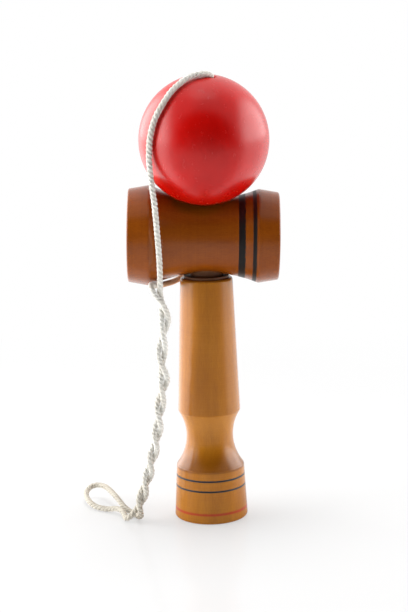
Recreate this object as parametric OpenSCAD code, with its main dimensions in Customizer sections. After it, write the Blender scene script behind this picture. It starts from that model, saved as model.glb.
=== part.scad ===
// Cup and ball toy: a turned handle with a spike, a cross piece with two cups and a drilled ball on
// a cotton string. Millimetres, Z up. The origin is the centre of the base, on the floor.
// X runs along the cross piece, from the big cup at -X to the small cup at +X. The front is -Y.

/* [Handle] */
// Height of the shoulder at the top of the shaft
shoulder_z = 116.7; // [110:0.1:130]
// Radius of the low collar on the shoulder, which carries the cross piece
collar_r = 10.6; // [9.6:0.1:11]
// Height of that collar
collar_height = 1.1; // [0.8:0.1:1.5]
// Radius of the shaft at the shoulder
shaft_top_r = 12.4; // [11.6:0.1:13.4]
// Radius of the shaft where the hollow waist begins
shaft_low_r = 14.8; // [13.6:0.1:15.6]
// Height of the thinnest place in the waist
waist_z = 40; // [37:0.5:46]
// Radius of the waist at its thinnest place
waist_r = 11.2; // [10:0.1:12]
// Radius of the waist's hollow curve, seen from the side
waist_curve_r = 23; // [22:0.5:27]
// Radius of the base at its upper edge
base_top_r = 16.2; // [15.4:0.1:17]
// Radius of the base at the floor
base_r = 17.5; // [17:0.1:19]
// Radius of the cup in the base, at the floor
base_cup_r = 14.5; // [12.5:0.1:15]
// Depth of the cup in the base
base_cup_depth = 6.5; // [5.5:0.1:8]
// Rounding of the foot and of the shoulder
edge_round = 1.2; // [0.6:0.1:1.6]
// Bevel on the two edges of the waist
edge_bevel = 0.2; // [0.1:0.05:0.5]

/* [Spike] */
// Radius of the tapered neck where it leaves the collar
neck_low_r = 8; // [7.6:0.1:9]
// Radius of the spike where it leaves the cross piece
spike_low_r = 5.9; // [5.4:0.1:6.2]
// Radius of the spike's round tip
spike_tip_r = 3.4; // [2.6:0.1:4]
// Height of the tip above the saddle
spike_height = 22; // [18:0.5:25]
// Gap around the neck in its bore
neck_gap = 0.1; // [0.05:0.05:0.2]

/* [Cross piece] */
// Distance from the middle of the bore to the big cup's rim
big_end_x = 36.2; // [34:0.1:40]
// Distance from the middle of the bore to the small cup's rim
small_end_x = 34.3; // [33:0.1:40]
// Radius of the saddle at its thinnest place
saddle_r = 17.4; // [16.8:0.1:17.9]
// Radius of the saddle's hollow curve along the cross piece
saddle_curve_r = 63; // [60:1:75]
// Place of the saddle's thinnest point along X
saddle_x = 1.2; // [0:0.1:2]
// Radius of the ridge on the big cup's side
big_ridge_r = 23.5; // [22.8:0.1:24]
// Radius of the big cup's rim
big_rim_r = 22; // [20.8:0.1:22.4]
// Radius of the big cup's opening
big_cup_r = 19.4; // [17:0.1:19.8]
// Depth of the big cup
big_cup_depth = 9; // [7.5:0.1:11]
// Radius of the ridge on the small cup's side
small_ridge_r = 21.9; // [21.2:0.1:22.4]
// Radius of the small cup's rim
small_rim_r = 20.6; // [19.4:0.1:20.8]
// Radius of the small cup's opening
small_cup_r = 18; // [15.5:0.1:18.2]
// Depth of the small cup
small_cup_depth = 8.2; // [7:0.1:10]
// Rounding of the outer edge of both rims
rim_round = 1; // [0.6:0.1:1.2]
// Width of the narrow land on each ridge
ridge_land = 0.8; // [0.4:0.1:1.4]
// Gap between the edge of the collar and the cross piece
seat_gap = 0.07; // [0.04:0.01:0.1]
// Angle that the cross piece leans on the neck, with its big cup up
cross_lean = 1.6; // [0:0.1:2]

/* [Ball] */
// Radius of the ball
ball_r = 30; // [29.5:0.1:33]
// Radius of the hole that goes over the spike
ball_hole_r = 11.5; // [11.2:0.1:12.5]
// Depth of that hole from the mouth, without the drill point
ball_hole_depth = 38; // [36.5:0.5:40]
// Bevel at the mouth of the hole
mouth_bevel = 0.8; // [0.4:0.1:1.2]
// Bevel at the top of the string hole
string_hole_bevel = 1.2; // [0.6:0.1:1.6]
// Angle that the resting ball has rolled forward on the saddle
ball_lean = 11; // [4:0.5:11]
// Angle that the resting ball leans towards the small cup
ball_side_lean = 6; // [0:0.5:6]
// Place of the resting ball along the cross piece
ball_x = -1; // [-1.5:0.1:0.5]
// Gap between the mouth of the hole and the saddle
ball_seat_gap = 0.25; // [0.1:0.05:0.5]

/* [String] */
// Thickness of the string
cord_d = 2.4; // [1.8:0.1:2.5]
// Gap around the string in every hole that it runs through
cord_gap = 0.45; // [0.3:0.05:0.6]
// Radius of the wooden bead inside the ball
bead_r = 4.5; // [4:0.1:5]
// Gap between the bead and the end of the ball's hole
bead_gap = 0.2; // [0.1:0.05:0.4]
// Radius of the two end knots
knot_r = 2.8; // [2.4:0.1:3]
// Gap around the knot in the handle and under the knot's bead
knot_gap = 0.2; // [0.1:0.05:0.3]
// Distance of the two twisted strands from their common middle line
twist_r = 1.65; // [1.6:0.05:1.9]

/* [Hidden] */
$fn = 96;
drill_angle = 59;
cord_sides = 8;
cord_r = cord_d / 2;
cord_hole_r = cord_r + cord_gap;

// Handle: where the hollow waist meets a radius, above and below its middle
waist_axis_r = waist_r + waist_curve_r;
function waist_reach(r) = sqrt(waist_curve_r ^ 2 - (waist_axis_r - r) ^ 2);
base_top_z = waist_z - waist_reach(base_top_r);
shaft_low_z = waist_z + waist_reach(shaft_low_r);

// Cross piece: its radius at a place along X, and how far from the saddle it reaches a radius
function saddle_radius(x) = saddle_r + saddle_curve_r - sqrt(saddle_curve_r ^ 2 - (x - saddle_x) ^ 2);
function saddle_reach(r) = sqrt(saddle_curve_r ^ 2 - (saddle_curve_r + saddle_r - r) ^ 2);
function dish_sphere_r(opening, depth) = (opening ^ 2 + depth ^ 2) / (2 * depth);
seat_z = shoulder_z + collar_height;
seat_x = collar_r + saddle_r * sin(cross_lean);
axis_z = seat_z + saddle_radius(seat_x) * cos(cross_lean) + seat_x * sin(cross_lean) + seat_gap;
saddle_z = axis_z + saddle_r;
spike_top_z = saddle_z + spike_height;
bore_spare = 2;
function neck_radius(z) = neck_low_r - (neck_low_r - spike_low_r) * (z - seat_z) / (saddle_z - seat_z);
big_ridge_x = saddle_x - saddle_reach(big_ridge_r);
small_ridge_x = saddle_x + saddle_reach(small_ridge_r);

// Ball: the mouth of its hole stands on the saddle, which it can roll on around the cross piece's axis
mouth_r = ball_hole_r + mouth_bevel;
mouth_depth = sqrt(ball_r ^ 2 - mouth_r ^ 2);
function turn_x(p, a) = [p.x, p.y * cos(a) - p.z * sin(a), p.y * sin(a) + p.z * cos(a)];
function turn_y(p, a) = [p.x * cos(a) + p.z * sin(a), p.y, p.z * cos(a) - p.x * sin(a)];
function rolled(p) = turn_y(turn_x(p, ball_lean), cross_lean);
ball_up = ball_seat_gap + max([
    for (a = [0 : 5 : 355])
        let (p = turn_y([mouth_r * cos(a), mouth_r * sin(a), -mouth_depth], ball_side_lean))
            sqrt(saddle_radius(p.x + ball_x) ^ 2 - p.y ^ 2) - p.z
]);
pole = rolled(turn_y([0, 0, 1], ball_side_lean));
ball_centre = [0, 0, axis_z] + rolled([ball_x, 0, ball_up]);

// Inside the ball: the bead sits in the drill point, and the knot hangs under the bead
hole_end = ball_hole_depth - mouth_depth;
drill_tip = hole_end + ball_hole_r / tan(drill_angle);
bead_z = drill_tip - bead_r / sin(drill_angle) - bead_gap;
ball_knot_z = bead_z - bead_r - knot_r - knot_gap;
stem_top = ball_r - string_hole_bevel;
stem_gap = 0.15;
handle_knot_y = 3;
handle_knot_end_y = handle_knot_y + knot_r + 1;

// String: points chosen by hand. It leaves the top of the ball, lies down the ball's left side,
// hangs in front of the cross piece and twists with its own other half down to the floor.
ball_side_points = [
    [3.5, -15.3, 211.8], [2.2, -16.3, 212.5], [0.4, -17.3, 212.5], [-1.8, -17.9, 212.3],
    [-4.6, -18.9, 211.8], [-8.4, -21.4, 210], [-13.7, -25, 205.6], [-18.1, -27.9, 199.6],
    [-21.2, -28.9, 194.1], [-23.3, -29.4, 187.6], [-24.3, -28.9, 180.6], [-24.3, -28.3, 172.6],
    [-23.7, -27.5, 164.5], [-22.7, -26.7, 155.5], [-22.1, -25.9, 146.4], [-21.6, -25.1, 137.3],
    [-21.2, -24, 128.1], [-21.2, -22.6, 119], [-21.4, -21.2, 113.5]
];
twist_points = [
    [-21.1, -22, 111], [-19.5, -21, 101], [-20.9, -20, 91], [-21.6, -19, 81], [-20.8, -18, 71],
    [-22.7, -16.5, 61], [-24, -15.5, 51], [-25.5, -14.5, 41], [-28, -13.5, 31],
    [-30.5, -12.5, 21], [-33.5, -11.5, 11], [-36, -10.5, 3]
];
floor_points = [
    [-38.6, -10.6, 3.2], [-41, -8.8, 1.6], [-42, -4.8, 2], [-43.4, -1.2, 2.8], [-46.4, 2.6, 2.6],
    [-50.8, 5.6, 1.5], [-55.5, 8.6, 1.4], [-59.2, 13, 2.2], [-61.6, 18.4, 3.4], [-62.2, 23.8, 4.6],
    [-60.2, 28.2, 5.8], [-56.4, 28.6, 6.5], [-52.3, 23.9, 6.8], [-49.1, 17.2, 6.3], [-46, 11, 5],
    [-43, 5.4, 3], [-39.6, 0.6, 1.7], [-37, -3.4, 1.5], [-35, -6.8, 1.6], [-33.8, -10.2, 3.2]
];
handle_side_points = [
    [-23.2, -23.4, 112.4], [-25, -22.2, 115.2], [-25.6, -18.6, 116.7], [-24.6, -14.2, 115.9],
    [-22.4, -9, 114.8], [-19.2, -2, 114.2], [-15.6, 7, 113.6], [-12, 14, 114.2], [-8, 19.6, 116],
    [-4, 23.2, 121], [-1.6, 24.8, 127], [-0.5, 24.6, 132.2], [-0.1, 22.6, 135.2], [0, 20, axis_z]
];

// A smooth curve through the points, each span cut into n steps
function between(a, b, c, d, t) =
    0.5 * (2 * b + (c - a) * t + (2 * a - 5 * b + 4 * c - d) * t ^ 2 + (3 * b - a - 3 * c + d) * t ^ 3);
function smooth_at(p, i, t) =
    between(p[max(i - 1, 0)], p[i], p[i + 1], p[min(i + 2, len(p) - 1)], t);
function smooth(p, n) = concat(
    [for (i = [0 : len(p) - 2]) for (k = [0 : n - 1]) smooth_at(p, i, k / n)],
    [p[len(p) - 1]]
);

// The twist: half a turn takes 16 mm at the top and 10 mm at the floor
twist_start_z = 101.5;
twist_rate = 11.3;
twist_gain = 0.0347;
twist_steps = 46;
twist_first = 0.2;
twist_last = 10.5;
function twist_angle(z) = let (s = twist_start_z - z) twist_rate * s + twist_gain * s ^ 2;
function twist_point(k, side) =
    let (u = twist_first + (twist_last - twist_first) * k / twist_steps)
    let (i = floor(u))
    let (c = smooth_at(twist_points, i, u - i))
    c + side * twist_r * [cos(twist_angle(c.z)), sin(twist_angle(c.z)), 0];
strand_down = [for (k = [0 : twist_steps]) twist_point(k, -1)];
strand_up = [for (k = [twist_steps : -1 : 0]) twist_point(k, 1)];

// The whole string as one line of points, from the ball's top to the knot in the handle
ball_lead = smooth(concat(
    [ball_centre + stem_top * pole, ball_centre + (stem_top + 1) * pole],
    ball_side_points,
    [strand_down[0]]
), 2);
floor_loop = smooth(concat([strand_down[twist_steps]], floor_points, [strand_up[0]]), 2);
handle_lead = smooth(concat(
    [strand_up[twist_steps]],
    handle_side_points,
    [[0, saddle_r, axis_z], [0, handle_knot_end_y, axis_z]]
), 2);
function inner(p) = [for (i = [1 : len(p) - 2]) p[i]];
cord_line = concat(ball_lead, inner(concat(strand_down, inner(floor_loop), strand_up)), handle_lead);
twist_from = len(ball_lead) - 1;
twist_to = len(cord_line) - len(handle_lead);

// A tube along the line: a round of points at each place, turned as little as possible
function unit(v) = v / norm(v);
cord_last = len(cord_line) - 1;
cord_ahead = [
    for (i = [0 : cord_last])
        unit(cord_line[min(i + 1, cord_last)] - cord_line[max(i - 1, 0)])
];
function square_to(v, t) = unit(v - (v * t) * t);
cord_side = [
    for (i = 0, v = square_to([1, 0, 0], cord_ahead[0]); i <= cord_last;
         i = i + 1, v = square_to(v, cord_ahead[min(i, cord_last)]))
        v
];
function cord_round(i) = [
    for (k = [0 : cord_sides - 1])
        let (a = 360 * k / cord_sides)
            cord_line[i] + cord_r * (cos(a) * cord_side[i] + sin(a) * cross(cord_ahead[i], cord_side[i]))
];

module cord_tube(first, last) {
    count = last - first;
    points = [for (i = [first : last]) each cord_round(i)];
    sides = [
        for (i = [0 : count - 1])
            for (k = [0 : cord_sides - 1])
                let (a = i * cord_sides + k, b = i * cord_sides + (k + 1) % cord_sides)
                    [a, a + cord_sides, b + cord_sides, b]
    ];
    start = [for (k = [0 : cord_sides - 1]) k];
    end = [for (k = [cord_sides - 1 : -1 : 0]) count * cord_sides + k];
    polyhedron(points, concat([start], sides, [end]), convexity = 10);
}

// The least gap between two strands of the string, and its length
function cord_gap_at(i) = min([
    for (j = [i + 8 : cord_last])
        norm(cord_line[i] - cord_line[j])
]) - cord_d;
cord_least_gap = min([for (i = [0 : cord_last - 9]) cord_gap_at(i)]);
function cord_reach(first, last) =
    first >= last ? 0 : norm(cord_line[first + 1] - cord_line[first]) + cord_reach(first + 1, last);
echo(least_gap = cord_least_gap, length = cord_reach(0, cord_last));

wood = [0.72, 0.46, 0.22];
stained_wood = [0.5, 0.27, 0.14];
red_paint = [0.68, 0.03, 0.02];
bead_wood = [0.8, 0.62, 0.42];
cotton = [0.88, 0.86, 0.8];

handle();
crosspiece();
ball();
string_bead();
ball_knot();
handle_knot();
ball_string();
twisted_string();
handle_string();

// The handle's half outline: base, hollow waist, shaft, shoulder, collar, neck and spike
module handle_outline() {
    difference() {
        union() {
            polygon([
                [0, 0],
                [base_r - edge_round, 0],
                [base_r, edge_round],
                [base_top_r, base_top_z - edge_bevel],
                [base_top_r - 2 * edge_bevel, base_top_z + 2 * edge_bevel],
                [base_top_r, waist_z],
                [shaft_low_r - 2 * edge_bevel, shaft_low_z - 2 * edge_bevel],
                [shaft_low_r, shaft_low_z + edge_bevel],
                [shaft_top_r, shoulder_z - edge_round],
                [shaft_top_r - edge_round, shoulder_z],
                [collar_r, shoulder_z],
                [collar_r, seat_z],
                [neck_low_r, seat_z],
                [spike_low_r, saddle_z],
                [spike_tip_r, spike_top_z - spike_tip_r],
                [0, spike_top_z - spike_tip_r]
            ]);
            translate([base_r - edge_round, edge_round])
                circle(r = edge_round);
            translate([shaft_top_r - edge_round, shoulder_z - edge_round])
                circle(r = edge_round);
        }
        translate([waist_axis_r, waist_z])
            circle(r = waist_curve_r);
    }
}

module handle() {
    cup_r = dish_sphere_r(base_cup_r, base_cup_depth);
    color(wood)
        difference() {
            union() {
                rotate_extrude()
                    handle_outline();
                translate([0, 0, spike_top_z - spike_tip_r])
                    sphere(r = spike_tip_r);
            }
            translate([0, 0, base_cup_depth - cup_r])
                sphere(r = cup_r);
            // Pocket for the string's end knot, open to the back
            translate([0, handle_knot_y - knot_r, axis_z])
                rotate([-90, 0, 0])
                    cylinder(h = 2 * neck_low_r, r = knot_r + knot_gap);
        }
}

// The cross piece's half outline, with Y of the drawing along the cross piece
module crosspiece_outline() {
    difference() {
        union() {
            polygon([
                [0, -big_end_x],
                [big_rim_r - rim_round, -big_end_x],
                [big_rim_r, rim_round - big_end_x],
                [big_ridge_r, big_ridge_x - ridge_land],
                [big_ridge_r, big_ridge_x / 2],
                [small_ridge_r, small_ridge_x / 2],
                [small_ridge_r, small_ridge_x + ridge_land],
                [small_rim_r, small_end_x - rim_round],
                [small_rim_r - rim_round, small_end_x],
                [0, small_end_x]
            ]);
            translate([big_rim_r - rim_round, rim_round - big_end_x])
                circle(r = rim_round);
            translate([small_rim_r - rim_round, small_end_x - rim_round])
                circle(r = rim_round);
        }
        translate([saddle_r + saddle_curve_r, saddle_x])
            circle(r = saddle_curve_r, $fn = 4 * $fn);
    }
}

module crosspiece() {
    big_r = dish_sphere_r(big_cup_r, big_cup_depth);
    small_r = dish_sphere_r(small_cup_r, small_cup_depth);
    color(stained_wood)
        difference() {
            translate([0, 0, axis_z])
                rotate([0, cross_lean, 0])
                    difference() {
                        rotate([0, 90, 0])
                            rotate_extrude()
                                crosspiece_outline();
                        translate([big_cup_depth - big_end_x - big_r, 0, 0])
                            sphere(r = big_r);
                        translate([small_end_x - small_cup_depth + small_r, 0, 0])
                            sphere(r = small_r);
                    }
            // Tapered bore for the neck, with some length to spare at both ends
            translate([0, 0, seat_z - bore_spare])
                cylinder(
                    h = saddle_z - seat_z + 2 * bore_spare,
                    r1 = neck_gap + neck_radius(seat_z - bore_spare),
                    r2 = neck_gap + neck_radius(saddle_z + bore_spare)
                );
            // String hole at the back
            translate([0, 0, axis_z])
                rotate([-90, 0, 0])
                    cylinder(h = saddle_r + cord_d, r = cord_hole_r);
        }
}

// Places its children in the ball's own frame: centre at the origin, string hole at the top
module in_ball() {
    translate([0, 0, axis_z])
        rotate([ball_lean, cross_lean, 0])
            translate([ball_x, 0, ball_up])
                rotate([0, ball_side_lean, 0])
                    children();
}

module ball() {
    color(red_paint)
        in_ball()
            difference() {
                sphere(r = ball_r);
                rotate_extrude()
                    polygon([
                        [0, -ball_r - 1],
                        [mouth_r, -ball_r - 1],
                        [mouth_r, -mouth_depth],
                        [ball_hole_r, mouth_bevel - mouth_depth],
                        [ball_hole_r, hole_end],
                        [cord_hole_r, drill_tip - cord_hole_r / tan(drill_angle)],
                        [cord_hole_r, ball_r - string_hole_bevel],
                        [cord_hole_r + string_hole_bevel, ball_r],
                        [cord_hole_r + string_hole_bevel, ball_r + 1],
                        [0, ball_r + 1]
                    ]);
            }
}

module string_bead() {
    color(bead_wood)
        in_ball()
            translate([0, 0, bead_z])
                difference() {
                    sphere(r = bead_r);
                    cylinder(h = 2 * bead_r + 1, r = cord_hole_r, center = true);
                }
}

// The knot under the bead, with the stretch of string that runs up through bead and ball
module ball_knot() {
    color(cotton)
        in_ball() {
            translate([0, 0, ball_knot_z])
                sphere(r = knot_r);
            translate([0, 0, ball_knot_z])
                cylinder(h = stem_top - stem_gap - ball_knot_z, r = cord_r);
        }
}

// The knot in the handle's pocket, with the start of the string that leaves it
module handle_knot() {
    color(cotton)
        translate([0, 0, axis_z]) {
            translate([0, handle_knot_y, 0])
                sphere(r = knot_r);
            rotate([-90, 0, 0])
                translate([0, 0, handle_knot_y])
                    cylinder(h = handle_knot_end_y - handle_knot_y, r = cord_r);
        }
}

module ball_string() {
    color(cotton)
        cord_tube(0, twist_from);
}

module twisted_string() {
    color(cotton)
        cord_tube(twist_from, twist_to);
}

module handle_string() {
    color(cotton)
        cord_tube(twist_to, cord_last);
}
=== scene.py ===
"""Looks of a wooden cup and ball toy: its string, woods and paint, with a floor, lamps and a camera.

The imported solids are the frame. The handle, the cross piece, the ball and the bead keep their solids
and get finishes. The string and its knots are built anew along the line that their solids follow.
Sizes are in millimetres until a mesh is made, and meshes are in metres.
"""

import logging
import math
import random
from dataclasses import dataclass, field
from enum import Enum
from typing import Optional, Union

import bmesh
import bpy
from mathutils import Matrix, Vector


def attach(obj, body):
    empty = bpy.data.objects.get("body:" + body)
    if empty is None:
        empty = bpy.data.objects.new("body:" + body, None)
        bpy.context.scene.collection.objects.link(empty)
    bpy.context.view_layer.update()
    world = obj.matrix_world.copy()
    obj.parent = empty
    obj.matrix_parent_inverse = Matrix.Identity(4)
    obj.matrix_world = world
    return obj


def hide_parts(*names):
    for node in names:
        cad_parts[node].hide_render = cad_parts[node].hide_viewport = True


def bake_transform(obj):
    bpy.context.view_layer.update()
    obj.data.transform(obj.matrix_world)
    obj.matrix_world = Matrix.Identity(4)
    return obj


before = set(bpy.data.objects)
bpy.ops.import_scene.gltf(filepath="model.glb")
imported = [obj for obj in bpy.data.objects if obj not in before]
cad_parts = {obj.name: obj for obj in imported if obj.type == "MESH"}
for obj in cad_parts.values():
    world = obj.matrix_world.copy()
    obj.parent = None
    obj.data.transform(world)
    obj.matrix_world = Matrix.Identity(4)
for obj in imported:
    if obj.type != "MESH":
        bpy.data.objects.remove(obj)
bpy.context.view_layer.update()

MM = 0.001
LOG = logging.getLogger("cup_and_ball")

Colour = tuple[float, float, float, float]
Triple = tuple[float, float, float]
Span = tuple[float, float]
Term = Union["Wire", float]
NO_TURN: Triple = (0.0, 0.0, 0.0)
NO_SHIFT: Triple = (0.0, 0.0, 0.0)
NOISE_MIDDLE = 0.5
QUARTER_TURN = 90.0
TINY = 1e-9

# Sockets of the Mix node for colours: its factor, its first and second colour, and its result
MIX_FACTOR, MIX_FIRST, MIX_SECOND, MIX_RESULT = 0, 6, 7, 2

# The screen's curve: its white, the end and slope of its straight part, then its lift and power
SCREEN_WHITE = 255
STRAIGHT_END = 0.04045
STRAIGHT_SLOPE = 12.92
CURVE_LIFT = 0.055
CURVE_POWER = 2.4

# Height of the cross piece's axis over the floor, and the centre and axis of the ball
AXIS_Z = 136.356
BALL_CENTRE: Triple = (0.276481, -8.88368, 182.069)
BALL_POLE: Triple = (0.131746, -0.189764, 0.97295)


class Body(Enum):
    """Bodies of the motion model that carry the string."""

    HANDLE = "handle"
    STRING_LEAD = "string_lead"
    BEAD = "bead"


class Slot(Enum):
    """Material slots of the record."""

    HANDLE_WOOD = "handle_wood"
    STAINED_WOOD = "stained_wood"
    RED_PAINT = "red_paint"
    BEAD_WOOD = "bead_wood"
    COTTON = "cotton"


class Strand(Enum):
    """Strands of the twisted string, as the side of the twist that each is on."""

    FROM_BALL = -1
    TO_HANDLE = 1


def straighten(value: int) -> float:
    """Takes the screen's curve off one value.

    Args:
        value: Value on the screen, from 0 to 255.

    Returns:
        The linear value, from 0 to 1.
    """
    share = value / SCREEN_WHITE
    if share <= STRAIGHT_END:
        return share / STRAIGHT_SLOPE
    return ((share + CURVE_LIFT) / (1 + CURVE_LIFT)) ** CURVE_POWER


class Tint(Enum):
    """Colours of the finishes, as values on the screen from 0 to 255."""

    HANDLE_LIGHT = (176, 112, 24)
    HANDLE_MIDDLE = (156, 94, 15)
    HANDLE_DARK = (112, 58, 8)
    # Painted shade and a painted dark reflection on the handle's flare below the cross piece
    POLISHED = (100, 48, 0)
    WORN = (184, 128, 62)
    # Painted shade on the neck and shoulder under the cross piece, where its shadow falls
    JOINT_GRIME = (92, 52, 20)
    INK = (6, 35, 48)
    LINE_RED = (166, 38, 20)
    CROSS_LIGHT = (134, 68, 10)
    CROSS_MIDDLE = (116, 54, 5)
    CROSS_DARK = (84, 36, 3)
    LINE_BLACK = (12, 8, 8)
    BALL_RED = (178, 5, 1)
    BALL_DEEP = (168, 3, 0)
    BALL_BARE = (206, 160, 106)
    BEAD_LIGHT = (226, 190, 142)
    BEAD_MIDDLE = (212, 172, 120)
    BEAD_DARK = (176, 132, 84)
    COTTON_PALE = (215, 214, 208)
    COTTON_WARM = (205, 201, 192)
    COTTON_SHADE = (150, 144, 132)
    # Painted shade on the loop of string that lies on the floor
    COTTON_SOILED = (184, 177, 162)
    # Painted shade with warm light bounced from the wood, on the string behind the cross piece
    COTTON_STAINED = (212, 160, 110)

    @property
    def linear(self) -> Colour:
        """Gives the linear colour with full alpha."""
        return *(straighten(value) for value in self.value), 1.0


def grey(level: float) -> Colour:
    """Gives a grey of this linear level."""
    return level, level, level, 1.0


class Wire:
    """An output socket that takes part in sums, so that shader maths reads as plain expressions."""

    def __init__(self, graph: "Graph", socket: bpy.types.NodeSocket) -> None:
        """Keeps the socket and the graph that new maths nodes go into."""
        self.graph = graph
        self.socket = socket

    def maths(self, operation: str, *terms: Term) -> "Wire":
        """Adds one Math node on these terms."""
        return self.graph.node("ShaderNodeMath", {"operation": operation}, dict(enumerate(terms)))

    def __add__(self, other: Term) -> "Wire":
        """Adds a term."""
        return self.maths("ADD", self, other)

    def __sub__(self, other: Term) -> "Wire":
        """Takes a term away."""
        return self.maths("SUBTRACT", self, other)

    def __rsub__(self, other: Term) -> "Wire":
        """Is taken away from a number."""
        return self.maths("SUBTRACT", other, self)

    def __mul__(self, other: Term) -> "Wire":
        """Multiplies by a term."""
        return self.maths("MULTIPLY", self, other)

    def __truediv__(self, other: Term) -> "Wire":
        """Divides by a term."""
        return self.maths("DIVIDE", self, other)

    def __pow__(self, other: Term) -> "Wire":
        """Raises to a power."""
        return self.maths("POWER", self, other)

    def __abs__(self) -> "Wire":
        """Drops the sign."""
        return self.maths("ABSOLUTE", self)

    __radd__ = __add__
    __rmul__ = __mul__

    def fraction(self) -> "Wire":
        """Keeps what is left after the whole number."""
        return self.maths("FRACT", self)

    def larger(self, other: Term) -> "Wire":
        """Keeps the larger of two values."""
        return self.maths("MAXIMUM", self, other)

    def edges(self, power: float) -> "Wire":
        """Rises by a power from 0 at the middle of each unit to 1 at its two ends."""
        return (abs(self.fraction() - 0.5) * 2.0) ** power

    def ramp(self, low: Term, high: Term) -> "Wire":
        """Rises smoothly from 0 at low to 1 at high."""
        settings = {"interpolation_type": "SMOOTHSTEP"}
        return self.graph.node("ShaderNodeMapRange", settings, {0: self, 1: low, 2: high})


def weigh(values: tuple[Wire, ...], shares: tuple[float, ...]) -> Wire:
    """Adds up values by their shares."""
    first, *others = (value * share for value, share in zip(values, shares))
    return sum(others, first)


class Graph:
    """Builds one node tree."""

    def __init__(self, tree: bpy.types.NodeTree) -> None:
        """Starts from an empty tree."""
        self.tree = tree
        tree.nodes.clear()

    @classmethod
    def of_material(cls, name: str) -> tuple["Graph", bpy.types.Material]:
        """Makes a material.

        Args:
            name: Name of the material.

        Returns:
            The graph of its nodes, and the material.
        """
        material = bpy.data.materials.new(name)
        material.use_nodes = True
        return cls(material.node_tree), material

    def node(
        self,
        kind: str,
        settings: Optional[dict] = None,
        inputs: Optional[dict] = None,
        output: Union[int, str] = 0,
    ) -> Optional[Wire]:
        """Adds any node.

        Args:
            kind: Type name of the node.
            settings: Its properties, set first.
            inputs: Values or wires of its input sockets, by name or number.
            output: Name or number of the output socket to hand back.

        Returns:
            The chosen output, or None for a node without outputs.
        """
        made = self.tree.nodes.new(kind)
        for key, value in (settings or {}).items():
            setattr(made, key, value)
        for key, value in (inputs or {}).items():
            if isinstance(value, Wire):
                self.tree.links.new(value.socket, made.inputs[key])
            else:
                made.inputs[key].default_value = value
        return Wire(self, made.outputs[output]) if made.outputs else None

    def mix(self, factor: Term, first: Union[Wire, Colour], second: Union[Wire, Colour]) -> Wire:
        """Mixes two colours by a factor."""
        inputs = {MIX_FACTOR: factor, MIX_FIRST: first, MIX_SECOND: second}
        return self.node("ShaderNodeMix", {"data_type": "RGBA"}, inputs, MIX_RESULT)

    def place(self, turn: Triple = NO_TURN, shift: Triple = NO_SHIFT) -> Wire:
        """Gives the object's own coordinates in millimetres.

        Args:
            turn: Euler turn in degrees, made before the shift.
            shift: Shift in millimetres.

        Returns:
            The coordinates as a vector.
        """
        inputs = {
            "Vector": self.node("ShaderNodeTexCoord", output="Object"),
            "Scale": (1 / MM, 1 / MM, 1 / MM),
            "Rotation": tuple(math.radians(angle) for angle in turn),
            "Location": shift,
        }
        return self.node("ShaderNodeMapping", None, inputs)

    def vectors(self, operation: str, *terms: Union[Wire, Triple], output: str = "Vector") -> Wire:
        """Adds one Vector Math node on these terms."""
        settings = {"operation": operation}
        return self.node("ShaderNodeVectorMath", settings, dict(enumerate(terms)), output)

    def parts(self, vector: Wire) -> tuple[Wire, Wire, Wire]:
        """Splits a vector into its three parts."""
        split = self.node("ShaderNodeSeparateXYZ", None, {0: vector}).socket.node
        return tuple(Wire(self, socket) for socket in split.outputs)

    def bump(self, height: Wire, depth: float, strength: float) -> Wire:
        """Turns a height from 0 to 1 into a normal, for a relief of this depth in millimetres."""
        inputs = {"Height": height, "Distance": depth * MM, "Strength": strength}
        return self.node("ShaderNodeBump", None, inputs)

    def glow(self, level: float) -> Wire:
        """Gives a white shader that shines by itself."""
        return self.node("ShaderNodeEmission", None, {"Color": grey(1.0), "Strength": level})

    def mix_shader(self, factor: Term, first: Wire, second: Wire) -> Wire:
        """Mixes two shaders by a factor."""
        return self.node("ShaderNodeMixShader", None, {0: factor, 1: first, 2: second})

    def surface(self, shader: Wire) -> None:
        """Ends a material in this shader."""
        self.node("ShaderNodeOutputMaterial", None, {"Surface": shader})

    def principled(self, inputs: dict) -> None:
        """Ends a material in the general shader with these inputs."""
        self.surface(self.node("ShaderNodeBsdfPrincipled", None, inputs))


@dataclass(frozen=True)
class Mottle:
    """Noise with its own number of lumps per millimetre along each axis."""

    scale: Triple
    detail: float = 2.0
    roughness: float = 0.5

    def at(self, graph: Graph, place: Wire) -> Wire:
        """Gives the noise at a place.

        Args:
            graph: Graph of the material.
            place: Coordinates in millimetres.

        Returns:
            The noise, from about 0 to 1.
        """
        inputs = {
            "Vector": graph.vectors("MULTIPLY", place, self.scale),
            "Scale": 1.0,
            "Detail": self.detail,
            "Roughness": self.roughness,
        }
        return graph.node("ShaderNodeTexNoise", None, inputs)


@dataclass(frozen=True)
class Stripe:
    """A painted line or a place of another tone round a turned piece, in millimetres along its axis."""

    span: Span
    colour: Tint
    soft: float = 0.12
    fade: float = 0.12
    ragged_start: float = 0.0
    ragged_end: float = 0.0
    ragged_size: float = 1.6
    ragged_detail: float = 3.0
    cover: float = 0.99
    matt: float = 0.0
    thin: Mottle = Mottle((1.3, 1.3, 3.0), detail=4.0)
    thin_span: Span = (0.2, 0.42)
    thin_share: float = 0.04

    def mask(self, graph: Graph, place: Wire, along: Wire) -> Wire:
        """Says where the line covers the wood.

        Args:
            graph: Graph of the wood's material.
            place: Coordinates in millimetres.
            along: Their part along the turning axis.

        Returns:
            The line's cover, from 0 to its own cover.
        """
        start, end = self.span
        size = 1 / self.ragged_size
        wave = Mottle((size, size, size), self.ragged_detail).at(graph, place) - NOISE_MIDDLE
        first = along - wave * self.ragged_start
        last = along - wave * self.ragged_end
        rises = first.ramp(start - self.soft, start + self.soft)
        falls = last.ramp(end - self.fade, end + self.fade)
        thin = self.thin.at(graph, place).ramp(*self.thin_span)
        return rises * (1 - falls) * (1 - self.thin_share + thin * self.thin_share) * self.cover


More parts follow.
